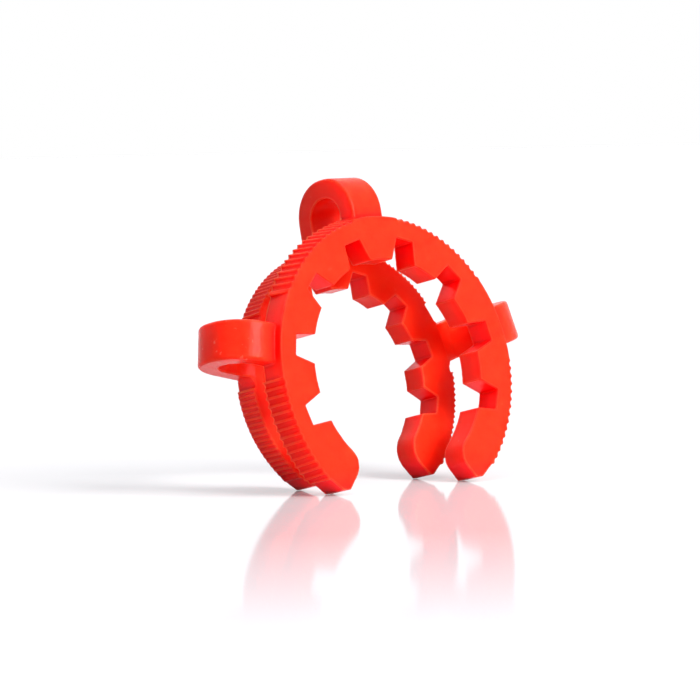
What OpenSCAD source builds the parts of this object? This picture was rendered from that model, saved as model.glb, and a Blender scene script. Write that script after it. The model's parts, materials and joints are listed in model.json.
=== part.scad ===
// Clip for a conical ground glass joint, size 29.
// Two open rings stand one behind the other on a common axis and three looped
// bridges join them.  The front ring snaps over the rim of the socket, the
// rear ring over the neck of the cone behind its rim, and the springy arms
// spread at the mouth as the clip is pushed on sideways.
// The clip is modelled as it rests on a bench: on its four feet, leaning back.

/* [Grip] */
// Bore of the front ring's teeth, for the socket
socket_grip_d = 33.5; // [31:0.1:35]
// Bore of the rear ring's teeth, for the cone
cone_grip_d = 28.2; // [26:0.1:30]

/* [Rings] */
// Outer diameter of the front ring on its widest side, next to the gap
front_ring_d = 47.9; // [46.5:0.1:51]
// Outer diameter of the rear ring on its widest side, next to the gap
rear_ring_d = 41.4; // [39.5:0.1:44]
// Draft of the front ring's outer wall, which narrows towards the front
front_draft = 6.5; // [0:0.5:8]
// Draft of the rear ring's outer wall, which narrows towards the rear
rear_draft = 1.5; // [0:0.5:8]
// Thickness of the front ring
front_ring_t = 4.35; // [3.5:0.05:5.5]
// Thickness of the rear ring
rear_ring_t = 4.2; // [3.5:0.05:5.5]
// Clear gap between the two rings at their tops
ring_gap = 6; // [4:0.1:9]
// Chamfer round the outer edge of the front ring's face
front_chamfer = 0.15; // [0.1:0.05:0.8]
// Chamfer round the outer edge of the rear ring's face
rear_chamfer = 0.25; // [0.1:0.05:0.8]
// How far the end of each arm leans towards the other ring
toe_in = 0.75; // [0.1:0.05:1.5]

/* [Teeth] */
// Angle from one tooth to the next
tooth_pitch = 30.8; // [29:0.1:32]
// Width of a front tooth at its tip
front_tooth_w = 4.45; // [3.5:0.05:5.5]
// Width of a rear tooth at its tip
rear_tooth_w = 3.2; // [2.5:0.05:4.5]
// Depth of the notches in the front ring
front_notch_depth = 3.5; // [2:0.05:4]
// Depth of the notches in the rear ring
rear_notch_depth = 2.75; // [1.5:0.05:3.5]
// Width of a front notch at its floor
front_notch_floor_w = 3.2; // [2.2:0.05:4]
// Width of a rear notch at its floor
rear_notch_floor_w = 2.7; // [1.6:0.05:3.2]

/* [Mouth and feet] */
// Clear width between the noses of the front arms
front_mouth_w = 21.4; // [18:0.1:25]
// Clear width between the noses of the rear arms
rear_mouth_w = 18.9; // [16:0.1:21]
// Radius of the front noses
front_nose_r = 2.8; // [2:0.05:3.2]
// Radius of the rear noses
rear_nose_r = 3.6; // [3:0.05:4]
// Distance from the grip axis down to the flat of the front feet
front_foot_drop = 17.85; // [17.3:0.05:18.2]
// Distance from the grip axis down to the flat of the rear feet
rear_foot_drop = 16; // [15.7:0.05:16.3]
// Distance between the outer corners of the front feet
front_foot_spread = 28.7; // [27:0.1:30]
// Distance between the outer corners of the rear feet
rear_foot_spread = 24.8; // [24:0.1:26.5]
// Height of the bevel outside each front foot
front_bevel_h = 1.75; // [1:0.05:2.4]
// Height of the bevel outside each rear foot
rear_bevel_h = 1.45; // [0.8:0.05:2]
// Slope of the bevels from the flat of the foot
bevel_angle = 38.5; // [30:0.5:45]
// Width of the flat of each front foot
front_foot_w = 1.45; // [0.8:0.05:1.8]
// Width of the flat of each rear foot
rear_foot_w = 0.8; // [0.4:0.05:1.2]

/* [Bridges] */
// Rise of the bridges over the front ring
bridge_rise = 6.85; // [6:0.05:9]
// Width of the bridges round the rings
bridge_w = 6.2; // [4:0.1:7]
// Step from the front ring's face back to the bridges
bridge_front_step = 1.4; // [0.5:0.1:2]
// Step from the rear ring's face forward to the bridges
bridge_rear_step = 0.2; // [0.1:0.1:1]
// Radius of the bridges' outer corners, seen from the side
bridge_corner_r = 6; // [4:0.1:6.2]
// Rounding along the outer edges of the bridges
bridge_edge_r = 0.5; // [0.2:0.05:1]
// Thickness of the wall over the loop in each bridge
loop_top_wall = 3; // [2.4:0.1:4]
// Thickness of the wall behind the loop in each bridge
loop_rear_wall = 3.1; // [2:0.1:3.5]
// Radius of the loops' upper corners
loop_corner_r = 3.2; // [1:0.1:3.4]
// How far the gusset at the foot of each bridge's rear leg runs up the leg
gusset_h = 2.6; // [1.5:0.1:3.4]
// How far the foot of each bridge's rear leg flares out to either side
leg_flare = 0.7; // [0.2:0.05:0.9]

/* [Finger grip] */
// Spacing of the flutes round the front ring
front_flute_pitch = 1.26; // [1:0.02:1.8]
// Spacing of the flutes round the rear ring
rear_flute_pitch = 0.91; // [0.8:0.01:1.4]
// Depth of the flutes in the front ring
front_flute_depth = 0.38; // [0.2:0.02:0.5]
// Depth of the flutes in the rear ring
rear_flute_depth = 0.26; // [0.15:0.01:0.4]
// Share of the spacing that each flute takes, the rest being its ridge
flute_share = 0.8; // [0.6:0.05:0.9]
// Depth of the plain seats round the side bridges, under the widest side of each ring
seat_depth = 0.65; // [0.5:0.01:0.9]

/* [Hidden] */
$fn = 96;

// Teeth on each ring and where the side bridges stand: over the outermost notches but one
tooth_count = 7;
notch_count = tooth_count + 1;
side_bridge_angle = 2.5 * tooth_pitch;

// Stretches of each arm that are fluted, as angles from the top
flute_top_from = 9.5;
flute_top_to = side_bridge_angle - 19.5;
flute_low_from = side_bridge_angle + 13.5;
flute_low_to = 133.5;

// Outer radii and depths along the axis
front_r = front_ring_d / 2;
rear_r = rear_ring_d / 2;
front_face_r = front_r - front_ring_t * tan(front_draft);
rear_face_r = rear_r - rear_ring_t * tan(rear_draft);
rear_y = front_ring_t + ring_gap;
clip_depth = rear_y + rear_ring_t;

// Bridges
bridge_top_r = front_r + bridge_rise;
bridge_front_y = bridge_front_step;
bridge_rear_y = clip_depth - bridge_rear_step;
bridge_corner_z = bridge_top_r - bridge_corner_r;
loop_top_r = bridge_top_r - loop_top_wall;
loop_rear_y = bridge_rear_y - loop_rear_wall;
front_leg_root = front_r - 1.8;
rear_leg_root = rear_r - 2;

// The clip rests on the rear edges of its four feet
contact_front_y = front_ring_t + toe_in;
contact_rear_y = clip_depth - toe_in;
lean = atan((front_foot_drop - rear_foot_drop) / (contact_rear_y - contact_front_y));
lift = contact_front_y * sin(lean) + front_foot_drop * cos(lean);

// Extent of the leaning clip from front to rear, which centres it on the origin
leaning_front = toe_in * cos(lean) - front_foot_drop * sin(lean);
leaning_rear = (bridge_rear_y - bridge_corner_r) * cos(lean) + bridge_corner_z * sin(lean)
    + bridge_corner_r;
leaning_middle = (leaning_front + leaning_rear) / 2;

// Steps in which the lean of the arms is drawn, and a length that clears the whole clip
toe_steps = 8;
clear = 80;

// How far round from the top the chamfers run, and the angle of each step of them
chamfer_reach = 140;
chamfer_step = 4;

// Draws a flat shape, given as width and height, as a plate that runs along the clip's axis
module along_axis(from, to) {
    translate([0, to, 0]) rotate([90, 0, 0]) linear_extrude(to - from) children();
}

// Draws a flat shape, given as depth and height, as a bar of width w across the clip
module across(w) {
    rotate([90, 0, 90]) linear_extrude(w, center = true) children();
}

// Moves a shape from the top of the ring round to an angle
module round_to(angle) {
    rotate([0, angle, 0]) children();
}

// Shift of an arm at height z, growing as a parabola from the axis down to the foot
function toe_shift(z, drop) = toe_in * pow(min(z, 0) / drop, 2);

// Side view of a layer of an arm ring between depths from and to; side is 1 if it leans
// to the rear and -1 if it leans to the front
module leaning_layer(from, to, drop, side) {
    heights = [for (i = [0 : toe_steps]) -drop * 1.2 * i / toe_steps];
    front_edge = [for (z = heights) [from + side * toe_shift(z, drop), z]];
    rear_edge = [for (i = [toe_steps : -1 : 0]) [to + side * toe_shift(heights[i], drop), heights[i]]];
    across(clear) polygon(concat([[from, clear]], front_edge, rear_edge, [[to, clear]]));
}

// Wedge between two angles from the top, wide enough to leave the ring
module sector(from, to, r) {
    middle = (from + to) / 2;
    polygon([
        [0, 0],
        [r * sin(from), r * cos(from)],
        [r * sin(middle), r * cos(middle)],
        [r * sin(to), r * cos(to)],
    ]);
}

// Notch between two teeth, pointing up: wider at its mouth than at its floor
module notch(grip_r, tooth_w, depth, floor_w) {
    mouth_angle = tooth_pitch / 2 - asin(tooth_w / 2 / grip_r);
    mouth_x = grip_r * sin(mouth_angle);
    mouth_y = grip_r * cos(mouth_angle);
    floor_y = grip_r + depth;
    slope = (mouth_x - floor_w / 2) / (floor_y - mouth_y);
    inner_y = grip_r * 0.8;
    inner_x = mouth_x + slope * (mouth_y - inner_y);
    polygon([
        [-inner_x, inner_y],
        [-floor_w / 2, floor_y],
        [floor_w / 2, floor_y],
        [inner_x, inner_y],
    ]);
}

// End of an arm on the right: a round nose that runs smoothly out of the grip bore, and
// its straight run down to the inner corner of the foot
module nose(nose_x, nose_z, nose_r, foot_x, drop) {
    corner_x = foot_x - nose_x;
    corner_z = -drop - nose_z;
    touch_angle = atan2(corner_z, corner_x) - acos(nose_r / norm([corner_x, corner_z]));
    translate([nose_x, nose_z]) {
        circle(nose_r);
        polygon([
            [0, 0],
            [nose_r * cos(touch_angle), nose_r * sin(touch_angle)],
            [corner_x, corner_z],
            [0, corner_z],
        ]);
    }
}

// Everything that the mouth takes out of a ring between the two noses
module mouth(grip_r, mouth_w, nose_r, foot_x, drop) {
    nose_x = mouth_w / 2 + nose_r;
    nose_z = -sqrt(pow(grip_r + nose_r, 2) - pow(nose_x, 2));
    touch_z = nose_z * grip_r / (grip_r + nose_r);
    difference() {
        translate([-nose_x, -drop - 1]) square([2 * nose_x, drop + 1 + touch_z]);
        for (side = [0, 1]) mirror([side, 0]) nose(nose_x, nose_z, nose_r, foot_x, drop);
    }
}

// Everything below and outside one pair of feet: the flat, the bevel and the ledge over it
module foot_cut(spread, drop, bevel_h) {
    flat_x = spread / 2;
    ledge_x = flat_x + bevel_h / tan(bevel_angle);
    ledge_z = bevel_h - drop;
    polygon([
        [-clear, ledge_z], [-ledge_x, ledge_z], [-flat_x, -drop],
        [flat_x, -drop], [ledge_x, ledge_z], [clear, ledge_z],
        [clear, -clear], [-clear, -clear],
    ]);
}

// Outline of a ring seen along its axis, with the seats of the side bridges cut into it
module ring_outline(r, grip_r, tooth_w, notch_depth, floor_w, mouth_w, nose_r, drop, spread,
        foot_w, bevel_h) {
    difference() {
        circle(r, $fn = 200);
        circle(grip_r, $fn = 200);
        for (i = [0 : notch_count - 1])
            rotate((i - (notch_count - 1) / 2) * tooth_pitch)
                notch(grip_r, tooth_w, notch_depth, floor_w);
        for (side = [0, 1]) mirror([side, 0]) difference() {
            sector(flute_top_to, flute_low_from, r * 1.5);
            circle(r - seat_depth, $fn = 200);
        }
        mouth(grip_r, mouth_w, nose_r, spread / 2 - foot_w, drop);
        foot_cut(spread, drop, bevel_h);
    }
}

// Round plate as wide as a ring on its gap side, narrowing with the draft towards its outer
// face; side is 1 for the front ring and -1 for the rear ring
module drafted_disc(gap_y, r, draft, side) {
    reach = 8;
    taper = side * reach * tan(draft);
    translate([0, gap_y + reach, 0]) rotate([90, 0, 0])
        cylinder(h = 2 * reach, r1 = r + taper, r2 = r - taper, $fn = 200);
}

// Flutes of one stretch of wall, cut by round bars that follow the draft
module flutes(gap_y, r, draft, side, pitch, depth, from, to) {
    step = 360 / round(2 * PI * r / pitch);
    count = floor((to - from) / step);
    half_w = PI * r * step * flute_share / 360;
    flute_r = (pow(half_w, 2) + pow(depth, 2)) / 2 / depth;
    for (i = [0 : count - 1])
        round_to((from + to) / 2 + (i - (count - 1) / 2) * step)
            translate([0, gap_y, r + flute_r - depth]) rotate([90 + side * draft, 0, 0])
                cylinder(h = 16, r = flute_r, center = true, $fn = 24);
}

// Three-sided bar that follows the outer edge of a face and takes its chamfer off; the face
// is at depth face_y, leans with the arms, and looks to the front if side is 1
module chamfer_cut(face_y, r, chamfer, drop, side) {
    over = 0.3;
    stations = [for (angle = [-chamfer_reach * side : chamfer_step * side : chamfer_reach * side]) angle];
    section = [
        [r + over, -over],
        [r + over, chamfer + over],
        [r - chamfer - over, -over],
    ];
    points = [
        for (angle = stations) for (corner = section) [
            corner[0] * sin(angle),
            face_y + side * (corner[1] + toe_shift(r * cos(angle), drop)),
            corner[0] * cos(angle),
        ]
    ];
    last = 3 * (len(stations) - 1);
    walls = [
        for (i = [0 : 3 : last - 3]) for (k = [0 : 2])
            [i + k, i + (k + 1) % 3, i + 3 + (k + 1) % 3, i + 3 + k]
    ];
    faces = concat([[2, 1, 0]], walls, [[last, last + 1, last + 2]]);
    polyhedron(points, faces);
}

// All the flutes of a ring, on both sides of its top
module all_flutes(gap_y, r, draft, side, pitch, depth) {
    for (half = [0, 1]) mirror([half, 0, 0]) {
        flutes(gap_y, r, draft, side, pitch, depth, flute_top_from, flute_top_to);
        flutes(gap_y, r, draft, side, pitch, depth, flute_low_from, flute_low_to);
    }
}

module front_ring() {
    difference() {
        intersection() {
            along_axis(-1, rear_y)
                ring_outline(front_r, socket_grip_d / 2, front_tooth_w, front_notch_depth,
                    front_notch_floor_w, front_mouth_w, front_nose_r, front_foot_drop,
                    front_foot_spread, front_foot_w, front_bevel_h);
            drafted_disc(front_ring_t, front_r, front_draft, 1);
            leaning_layer(0, front_ring_t, front_foot_drop, 1);
        }
        all_flutes(front_ring_t, front_r, front_draft, 1, front_flute_pitch, front_flute_depth);
        chamfer_cut(0, front_face_r, front_chamfer, front_foot_drop, 1);
    }
}

module rear_ring() {
    difference() {
        intersection() {
            along_axis(front_ring_t, clip_depth + 1)
                ring_outline(rear_r, cone_grip_d / 2, rear_tooth_w, rear_notch_depth,
                    rear_notch_floor_w, rear_mouth_w, rear_nose_r, rear_foot_drop,
                    rear_foot_spread, rear_foot_w, rear_bevel_h);
            drafted_disc(rear_y, rear_r, rear_draft, -1);
            leaning_layer(rear_y, clip_depth, rear_foot_drop, -1);
        }
        all_flutes(rear_y, rear_r, rear_draft, -1, rear_flute_pitch, rear_flute_depth);
        chamfer_cut(clip_depth, rear_face_r, rear_chamfer, rear_foot_drop, -1);
    }
}

// Section of a bridge from its corner centre outwards, with its two outer edges rounded
module bridge_section() {
    inner_r = bridge_corner_r - bridge_edge_r;
    inner_w = bridge_w - 2 * bridge_edge_r;
    translate([0, -bridge_w / 2]) square([inner_r, bridge_w]);
    translate([0, -inner_w / 2]) square([bridge_corner_r, inner_w]);
    for (side = [-1, 1]) translate([inner_r, side * inner_w / 2]) circle(bridge_edge_r, $fn = 32);
}

// Solid arch of a bridge that stands at the top of the rings
module bridge_arch() {
    front_centre_y = bridge_front_y + bridge_corner_r;
    rear_centre_y = bridge_rear_y - bridge_corner_r;
    translate([0, rear_centre_y, bridge_corner_z])
        rotate([90, 0, 90]) rotate_extrude(angle = 90) bridge_section();
    translate([0, front_centre_y, bridge_corner_z])
        rotate([90, 0, 90]) rotate([0, 0, 90]) rotate_extrude(angle = 90) bridge_section();
    translate([0, front_centre_y, bridge_corner_z])
        rotate([-90, -90, 0]) linear_extrude(rear_centre_y - front_centre_y) bridge_section();
    translate([0, front_centre_y, front_leg_root])
        rotate([0, 0, -90]) linear_extrude(bridge_corner_z - front_leg_root) bridge_section();
    translate([0, rear_centre_y, rear_leg_root])
        rotate([0, 0, 90]) linear_extrude(bridge_corner_z - rear_leg_root) bridge_section();
}

// Opening of a loop seen from the side, from inside the rings up to its round corners
module loop_profile() {
    low_z = rear_leg_root - 1;
    corner_z = loop_top_r - loop_corner_r;
    translate([front_ring_t, low_z]) square([loop_rear_y - front_ring_t, corner_z - low_z]);
    translate([front_ring_t + loop_corner_r, low_z])
        square([loop_rear_y - front_ring_t - 2 * loop_corner_r, loop_top_r - low_z]);
    for (y = [front_ring_t + loop_corner_r, loop_rear_y - loop_corner_r])
        translate([y, corner_z]) circle(loop_corner_r);
}

// Foot of a bridge's rear leg on a ring wall of radius seat_r: a gusset that slopes back from
// the ring's front face to the wall of the loop, and a flare to either side
module leg_foot(seat_r) {
    sunk = 0.3;
    leg_x = bridge_w / 2;
    flare_x = leg_x + leg_flare + sunk;
    flare_z = seat_r - leg_flare / 2 - sunk;
    intersection() {
        across(clear) polygon([
            [rear_y, seat_r - sunk],
            [loop_rear_y, seat_r + gusset_h],
            [bridge_rear_y - bridge_edge_r, seat_r + gusset_h],
            [bridge_rear_y - bridge_edge_r, rear_leg_root],
            [rear_y + sunk, rear_leg_root],
        ]);
        along_axis(0, clip_depth) polygon([
            [-leg_x, rear_leg_root], [-flare_x, flare_z], [-leg_x, seat_r + leg_flare / 2],
            [-leg_x, seat_r + gusset_h], [leg_x, seat_r + gusset_h],
            [leg_x, seat_r + leg_flare / 2], [flare_x, flare_z], [leg_x, rear_leg_root],
        ]);
    }
}

// One bridge: an arch from ring to ring with a loop through it, on a rear ring wall of
// radius seat_r
module bridge(seat_r) {
    difference() {
        bridge_arch();
        across(clear) loop_profile();
    }
    leg_foot(seat_r);
}

module joint_clip() {
    color("orangered")
        translate([0, -leaning_middle, lift]) rotate([-lean, 0, 0]) {
            front_ring();
            rear_ring();
            bridge(rear_r);
            for (angle = [-side_bridge_angle, side_bridge_angle])
                round_to(angle) bridge(rear_r - seat_depth);
        }
}

joint_clip();
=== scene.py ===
"""A clip for a conical ground glass joint, standing on a white bench."""

import json
import math

import bmesh
import bpy
from mathutils import Matrix, Vector


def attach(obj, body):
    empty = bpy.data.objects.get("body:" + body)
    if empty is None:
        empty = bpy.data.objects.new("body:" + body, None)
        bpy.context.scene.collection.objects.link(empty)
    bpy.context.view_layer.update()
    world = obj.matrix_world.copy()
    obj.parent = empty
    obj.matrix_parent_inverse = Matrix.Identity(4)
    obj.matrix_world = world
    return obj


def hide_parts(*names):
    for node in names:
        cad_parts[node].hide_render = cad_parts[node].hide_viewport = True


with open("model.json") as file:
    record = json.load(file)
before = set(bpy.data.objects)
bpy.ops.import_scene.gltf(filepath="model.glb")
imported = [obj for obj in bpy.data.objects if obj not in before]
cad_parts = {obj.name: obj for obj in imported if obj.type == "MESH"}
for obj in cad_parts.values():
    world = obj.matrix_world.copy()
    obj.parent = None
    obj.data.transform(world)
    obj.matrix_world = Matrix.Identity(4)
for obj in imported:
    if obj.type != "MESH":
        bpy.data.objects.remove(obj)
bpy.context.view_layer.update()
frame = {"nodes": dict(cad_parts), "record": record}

# --- Clip -------------------------------------------------------------------------------
# One injection moulding of acetal: two toothed rings, three looped bridges and four feet.
# The mould leaves every corner slightly round, so the solid's sharp edges are worn back to
# a radius of about a tenth of a millimetre.

VOXEL = 0.0001
CORNER_PASSES = 3
FACET_GAP = 0.000002
MAX_TRIANGLES = 190000

# The axis of the rings, which leans back from the bench
socket_grip = frame["record"]["mounts"][0]
lean = math.atan2(socket_grip["axis"][2], -socket_grip["axis"][1])
stand_up = Matrix.Rotation(lean, 4, "X")


def evaluated(obj):
    """The object's mesh with its modifiers applied, as a new mesh."""
    graph = bpy.context.evaluated_depsgraph_get()
    return bpy.data.meshes.new_from_object(obj.evaluated_get(graph))


def soften(solid, name):
    """A copy of a solid with its corners rounded, made upright so that its faces stay true."""
    mesh = solid.data.copy()
    shell = bmesh.new()
    shell.from_mesh(mesh)
    bmesh.ops.remove_doubles(shell, verts=shell.verts, dist=FACET_GAP)
    shell.transform(stand_up)
    shell.to_mesh(mesh)
    shell.free()
    obj = bpy.data.objects.new(name, mesh)
    bpy.context.scene.collection.objects.link(obj)
    remesh = obj.modifiers.new("fine skin", "REMESH")
    remesh.mode = "VOXEL"
    remesh.voxel_size = VOXEL
    rounding = obj.modifiers.new("round corners", "SMOOTH")
    rounding.factor = 0.5
    rounding.iterations = CORNER_PASSES
    fine = evaluated(obj)
    obj.modifiers.clear()
    obj.data = fine
    thin = obj.modifiers.new("thin out", "DECIMATE")
    thin.ratio = MAX_TRIANGLES / (2 * len(fine.polygons))
    obj.data = evaluated(obj)
    obj.modifiers.clear()
    obj.data.transform(stand_up.inverted())
    obj.data.shade_smooth()
    return obj


def linear(code):
    """Turns an sRGB hex colour into the linear colour that the shader takes."""
    values = [int(code[i : i + 2], 16) / 255 for i in (1, 3, 5)]
    return (*[v / 12.92 if v <= 0.04045 else ((v + 0.055) / 1.055) ** 2.4 for v in values], 1)


def add_node(tree, kind, settings=None, sockets=None):
    """Adds a shader node, sets its properties, and sets its sockets or links them to outputs."""
    node = tree.nodes.new(kind)
    for key, value in (settings or {}).items():
        setattr(node, key, value)
    for key, value in (sockets or {}).items():
        if isinstance(value, bpy.types.NodeSocket):
            tree.links.new(value, node.inputs[key])
        else:
            node.inputs[key].default_value = value
    return node


# Sizes of the pattern in the plastic: its mottle, the grain of its skin, which is drawn
# coarser than the real one so that it shows, the skin's relief, the spread of the scuffs,
# and how far out from the middle the clip is scuffed
MOTTLE_SIZE = 0.0015
GRAIN_SIZE = 0.0004
RELIEF = 0.0001
SCUFF_SIZE = 0.0011
SCUFFED_FROM = 0.0265

# Reach of the painted shade in the gap between the rings and in the flutes, and of the
# corners, which get a painted highlight and a duller gloss
GAP_SHADE = 0.005
FLUTE_SHADE = 0.0007
CORNER_LIGHT = 0.0004

# Flash line round the front ring's wall: half its width, the width of its lip, the radius
# of the wall and how much that varies, the depth of the lean that the arms take as they drop
# to their feet, and half the ring's thickness
FLASH_HALF_WIDTH = 0.00025
FLASH_LIP = 0.00035
WALL_R = 0.0237
WALL_VARIES = 0.0006
TOE_IN = 0.00075
FOOT_DROP = 0.01785
HALF_RING = socket_grip["dims"]["length_mm"] / 2000

# Depths, from the middle of the front ring, between which the painted highlight on the corners and ridges
# fades in
PALE_FROM = -0.002
PALE_TO = -0.0014


# Moulded acetal, dyed orange-red all through and faintly mottled. Red light travels some
# millimetres inside it. Walls hemmed in by others, as in the gap between the rings, are
# painted a deeper red as shade, the more so down in the flutes, and the corners and ridges
# behind the front face are painted paler as a highlight. Its gloss is low and takes on the
# dye, except where it is grazed. A line of thin flash runs round the front ring, where the
# halves of the mould met, with a painted highlight along it, and the side bridges are
# scuffed from lying in a drawer.
def moulded_acetal():
    material = bpy.data.materials.new("moulded_acetal_red")
    material.use_nodes = True
    tree = material.node_tree
    shader = tree.nodes["Principled BSDF"]
    for socket, value in {
        "IOR": 1.48,
        "Specular IOR Level": 0.14,
        "Specular Tint": linear("#cbadaa"),
        "Subsurface Weight": 1.0,
        "Subsurface Radius": (1.0, 0.05, 0.04),
        "Subsurface Scale": 0.005,
    }.items():
        shader.inputs[socket].default_value = value

    # The mottle and the grain
    place = add_node(tree, "ShaderNodeTexCoord").outputs["Object"]
    mottle = add_node(tree, "ShaderNodeTexNoise", None,
        {"Vector": place, "Scale": 1 / MOTTLE_SIZE, "Detail": 3}).outputs[0]
    grain = add_node(tree, "ShaderNodeTexNoise", None,
        {"Vector": place, "Scale": 1 / GRAIN_SIZE, "Detail": 2}).outputs[0]

    # Painted shade in the gap and in the flutes, from 0 in the open to 1, and the corners that
    # get a painted highlight and a duller gloss
    shades = []
    for reach, inside, none_at, full_at in (
        (GAP_SHADE, False, 0.95, 0.5),
        (FLUTE_SHADE, False, 0.98, 0.74),
        (CORNER_LIGHT, True, 0.95, 0.6),
    ):
        open_sky = add_node(tree, "ShaderNodeAmbientOcclusion",
            {"samples": 8, "inside": inside}, {"Distance": reach})
        shades.append(add_node(tree, "ShaderNodeMapRange", None,
            {"Value": open_sky.outputs["AO"], "From Min": none_at, "From Max": full_at}).outputs[0])
    painted_gap_shade, painted_flute_shade, at_corner = shades

    # Place on the clip from the middle of the socket grip, with the rings upright
    from_grip = add_node(tree, "ShaderNodeVectorMath", {"operation": "SUBTRACT"},
        {0: place, 1: socket_grip["pos_m"]})
    upright = add_node(tree, "ShaderNodeVectorRotate", {"rotation_type": "X_AXIS"},
        {"Vector": from_grip.outputs[0], "Angle": lean})
    axes = add_node(tree, "ShaderNodeSeparateXYZ", None, {0: upright.outputs[0]})
    x, y, z = axes.outputs
    square_x = add_node(tree, "ShaderNodeMath", {"operation": "MULTIPLY"}, {0: x, 1: x})
    square_r = add_node(tree, "ShaderNodeMath", {"operation": "MULTIPLY_ADD"},
        {0: z, 1: z, 2: square_x.outputs[0]})
    radius = add_node(tree, "ShaderNodeMath", {"operation": "SQRT"}, {0: square_r.outputs[0]})

    # How far y is past the front ring's rear edge, which leans to the rear down the arms
    drop = add_node(tree, "ShaderNodeMapRange", None,
        {"Value": z, "From Min": 0, "From Max": -FOOT_DROP})
    square_drop = add_node(tree, "ShaderNodeMath", {"operation": "MULTIPLY"},
        {0: drop.outputs[0], 1: drop.outputs[0]})
    edge_y = add_node(tree, "ShaderNodeMath", {"operation": "MULTIPLY_ADD"},
        {0: square_drop.outputs[0], 1: TOE_IN, 2: HALF_RING})
    past_edge = add_node(tree, "ShaderNodeMath", {"operation": "SUBTRACT"},
        {0: y, 1: edge_y.outputs[0]})

    # The flash line, painted as a pale band of highlight and broken up by the grain
    on_edge = add_node(tree, "ShaderNodeMath", {"operation": "COMPARE"},
        {0: past_edge.outputs[0], 1: 0, 2: FLASH_HALF_WIDTH})
    on_wall = add_node(tree, "ShaderNodeMath", {"operation": "COMPARE"},
        {0: radius.outputs[0], 1: WALL_R, 2: WALL_VARIES})
    line = add_node(tree, "ShaderNodeMath", {"operation": "MULTIPLY"},
        {0: on_edge.outputs[0], 1: on_wall.outputs[0]})
    ragged = add_node(tree, "ShaderNodeMapRange", None,
        {"Value": grain, "From Min": 0.125, "From Max": 0.75})
    flash_highlight = add_node(tree, "ShaderNodeMath", {"operation": "MULTIPLY"},
        {0: line.outputs[0], 1: ragged.outputs[0]})

    # Painted highlight on the ridges and corners behind the front face, and scuffs at the sides
    behind = add_node(tree, "ShaderNodeMapRange", None,
        {"Value": y, "From Min": PALE_FROM, "From Max": PALE_TO})
    painted_corner_highlight = add_node(tree, "ShaderNodeMath", {"operation": "MULTIPLY"},
        {0: at_corner, 1: behind.outputs[0]})
    scratches = add_node(tree, "ShaderNodeTexNoise", None,
        {"Vector": place, "Scale": 1 / SCUFF_SIZE, "Detail": 4})
    scuffs = add_node(tree, "ShaderNodeMapRange", None,
        {"Value": scratches.outputs[0], "From Min": 0.64, "From Max": 0.74, "To Max": 0.5})
    outwards = add_node(tree, "ShaderNodeMath", {"operation": "ABSOLUTE"}, {0: x})
    at_side = add_node(tree, "ShaderNodeMath", {"operation": "GREATER_THAN"},
        {0: outwards.outputs[0], 1: SCUFFED_FROM})
    scuffed = add_node(tree, "ShaderNodeMath", {"operation": "MULTIPLY"},
        {0: scuffs.outputs[0], 1: at_side.outputs[0]})

    # The colours, each laid over those before it; 6 and 7 are the mixed colours' sockets
    colour = linear("#ff1d08")
    for share, shade in (
        (mottle, "#ff3116"),
        # painted shade: a deeper red where walls hem each other in, as in the gap between the rings
        (painted_gap_shade, "#f80e18"),
        # painted shade: a deeper red down in the flutes
        (painted_flute_shade, "#dc0c07"),
        # painted highlight: a pale band along the flash line
        (flash_highlight.outputs[0], "#ff9468"),
        # painted highlight: pale corners and ridges behind the front face
        (painted_corner_highlight.outputs[0], "#ff5634"),
        (scuffed.outputs[0], "#ff9a80"),
    ):
        mix = add_node(tree, "ShaderNodeMix", {"data_type": "RGBA"},
            {"Factor": share, 6: colour, 7: linear(shade)})
        colour = mix.outputs[2]
    tree.links.new(colour, shader.inputs["Base Color"])

    # A gloss that is duller at the corners, on a skin that isn't quite smooth
    skin_roughness = add_node(tree, "ShaderNodeMapRange", None,
        {"Value": mottle, "To Min": 0.2, "To Max": 0.3})
    roughness = add_node(tree, "ShaderNodeMath", {"operation": "MULTIPLY_ADD"},
        {0: at_corner, 1: 0.35, 2: skin_roughness.outputs[0]})
    tree.links.new(roughness.outputs[0], shader.inputs["Roughness"])
    relief = add_node(tree, "ShaderNodeMath", {"operation": "ADD"}, {0: grain, 1: mottle})
    skin = add_node(tree, "ShaderNodeBump", None,
        {"Height": relief.outputs[0], "Strength": 0.4, "Distance": RELIEF})
    lip_rise = add_node(tree, "ShaderNodeMapRange", {"interpolation_type": "SMOOTHSTEP"},
        {"Value": past_edge.outputs[0], "From Min": -FLASH_LIP, "From Max": 0})
    lip_height = add_node(tree, "ShaderNodeMath", {"operation": "MULTIPLY"},
        {0: lip_rise.outputs[0], 1: on_wall.outputs[0]})
    lip = add_node(tree, "ShaderNodeBump", None,
        {"Height": lip_height.outputs[0], "Strength": 1.0, "Distance": FLASH_LIP,
         "Normal": skin.outputs[0]})
    tree.links.new(lip.outputs[0], shader.inputs["Normal"])
    return material


clip = soften(frame["nodes"]["joint_clip"], "clip_moulding")
clip.data.materials.clear()
clip.data.materials.append(moulded_acetal())
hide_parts("joint_clip")
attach(clip, "root")

# --- Bench ------------------------------------------------------------------------------
# A glossy white laminate bench top in a white room. It keeps the clip's shadow, and mirrors
# the clip's feet faintly.

BENCH_R = 3.0
BENCH_SIDES = 36
BENCH_GLOW = 0.26

# The gloss mirrors nothing up to GRAZED_FROM and the most from GRAZED_TO, where 0 is looked
# at head-on and 1 is looked along
GRAZED_FROM = 0.877
GRAZED_TO = 0.9
GLOSS_AT_MOST = 0.48


def seen_white(tree):
    """1 for the rays that show the surroundings to the eye, directly or in a gloss."""
    path = add_node(tree, "ShaderNodeLightPath")
    bounced = add_node(tree, "ShaderNodeMath", {"operation": "MAXIMUM"},
        {0: path.outputs["Is Glossy Ray"], 1: path.outputs["Is Transmission Ray"]})
    seen = add_node(tree, "ShaderNodeMath", {"operation": "MAXIMUM"},
        {0: path.outputs["Is Camera Ray"], 1: bounced.outputs[0]})
    return seen.outputs[0]


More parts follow.
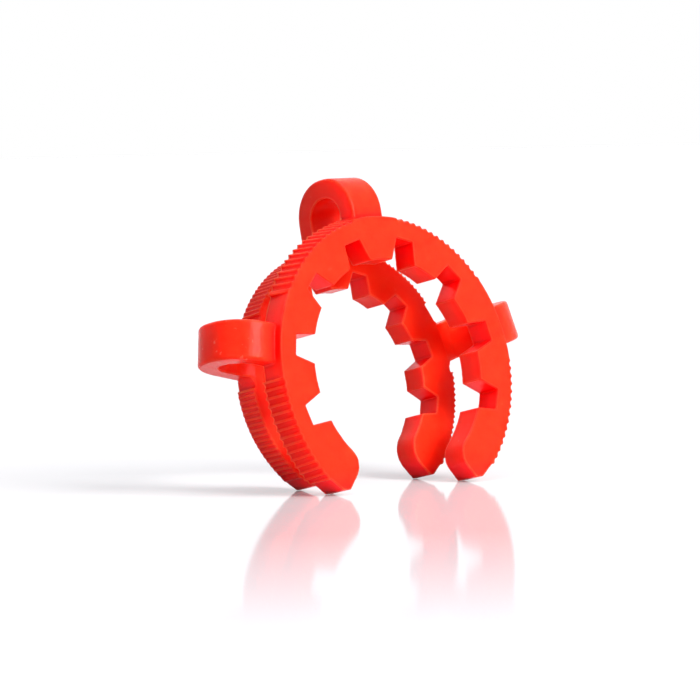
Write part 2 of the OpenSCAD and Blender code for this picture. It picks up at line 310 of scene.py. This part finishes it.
# White laminate under a clear gloss. A grey diffuse colour catches the clip's shadow, and a
# glow that only the eye sees lifts the rest to white. The gloss mirrors only what grazes it,
# so the mirror image of the feet fades out.
def glossy_laminate():
    material = bpy.data.materials.new("white_laminate_gloss")
    material.use_nodes = True
    tree = material.node_tree
    shader = tree.nodes["Principled BSDF"]
    shader.inputs["Base Color"].default_value = linear("#bfbfbf")
    shader.inputs["Roughness"].default_value = 0.5
    shader.inputs["Specular IOR Level"].default_value = 0.0
    shader.inputs["Emission Color"].default_value = linear("#ffffff")
    glow = add_node(tree, "ShaderNodeMath", {"operation": "MULTIPLY"}, {0: seen_white(tree), 1: BENCH_GLOW})
    tree.links.new(glow.outputs[0], shader.inputs["Emission Strength"])
    grazed = add_node(tree, "ShaderNodeLayerWeight", None, {"Blend": 0.5})
    share = add_node(tree, "ShaderNodeMapRange", None,
        {"Value": grazed.outputs["Facing"], "From Min": GRAZED_FROM, "From Max": GRAZED_TO,
         "To Max": GLOSS_AT_MOST})
    gloss = add_node(tree, "ShaderNodeBsdfGlossy", None,
        {"Color": linear("#ffffff"), "Roughness": 0.08})
    mix = add_node(tree, "ShaderNodeMixShader", None,
        {0: share.outputs[0], 1: shader.outputs[0], 2: gloss.outputs[0]})
    tree.links.new(mix.outputs[0], tree.nodes["Material Output"].inputs["Surface"])
    return material


bench_mesh = bpy.data.meshes.new("bench_top")
bench_mesh.from_pydata([
    (BENCH_R * math.cos(math.tau * i / BENCH_SIDES), BENCH_R * math.sin(math.tau * i / BENCH_SIDES), 0)
    for i in range(BENCH_SIDES)
], [], [range(BENCH_SIDES)])
bench_mesh.materials.append(glossy_laminate())
bench = bpy.data.objects.new("bench_top", bench_mesh)
bpy.context.scene.collection.objects.link(bench)

# --- Light ------------------------------------------------------------------------------
# Soft studio light: a wide source in front, a weaker one overhead, and a little bluish light
# from all round that keeps the shaded sides from going black. The room itself looks white.


def soft_sun(name, heading, height, spread, strength):
    """A distant round source, at a heading from the front ring's side and a height."""
    lamp = bpy.data.lights.new(name, "SUN")
    lamp.angle = math.radians(spread)
    lamp.energy = strength
    obj = bpy.data.objects.new(name, lamp)
    bpy.context.scene.collection.objects.link(obj)
    around = math.radians(heading)
    up = math.radians(height)
    source = Vector((math.sin(around) * math.cos(up), -math.cos(around) * math.cos(up), math.sin(up)))
    obj.rotation_euler = source.to_track_quat("Z", "Y").to_euler()


soft_sun("front_box", heading=9, height=32, spread=30, strength=6.0)
soft_sun("overhead_box", heading=-20, height=76, spread=50, strength=1.6)

world = bpy.data.worlds.new("white_room")
world.use_nodes = True
room = world.node_tree
bluish_light = room.nodes["Background"]
bluish_light.inputs["Color"].default_value = linear("#bcaaff")
bluish_light.inputs["Strength"].default_value = 0.16
white = add_node(room, "ShaderNodeBackground", None, {"Color": linear("#ffffff"), "Strength": 1.0})
either = add_node(room, "ShaderNodeMixShader", None,
    {0: seen_white(room), 1: bluish_light.outputs[0], 2: white.outputs[0]})
room.links.new(either.outputs[0], room.nodes["World Output"].inputs["Surface"])
bpy.context.scene.world = world

# --- Camera -----------------------------------------------------------------------------
# A long lens, low and to the left of the front ring, turned a touch on its own axis.

HEADING = math.radians(41.555)
PITCH = math.radians(-3.4555)
ROLL = math.radians(-1.2217)
DISTANCE = 0.7061
AIM = Vector((-0.00146, 0.00137, 0.02087))

forward = Vector((
    math.sin(HEADING) * math.cos(PITCH),
    math.cos(HEADING) * math.cos(PITCH),
    math.sin(PITCH),
))
camera_data = bpy.data.cameras.new("camera")
camera_data.sensor_width = 36
camera_data.lens = 236.3
camera_data.clip_start = 0.01
camera = bpy.data.objects.new("camera", camera_data)
bpy.context.scene.collection.objects.link(camera)
turn = forward.to_track_quat("-Z", "Y") @ Matrix.Rotation(ROLL, 3, "Z").to_quaternion()
camera.rotation_euler = turn.to_euler()
camera.location = AIM - forward * DISTANCE
bpy.context.scene.camera = camera
bpy.context.scene.view_settings.view_transform = "Standard"
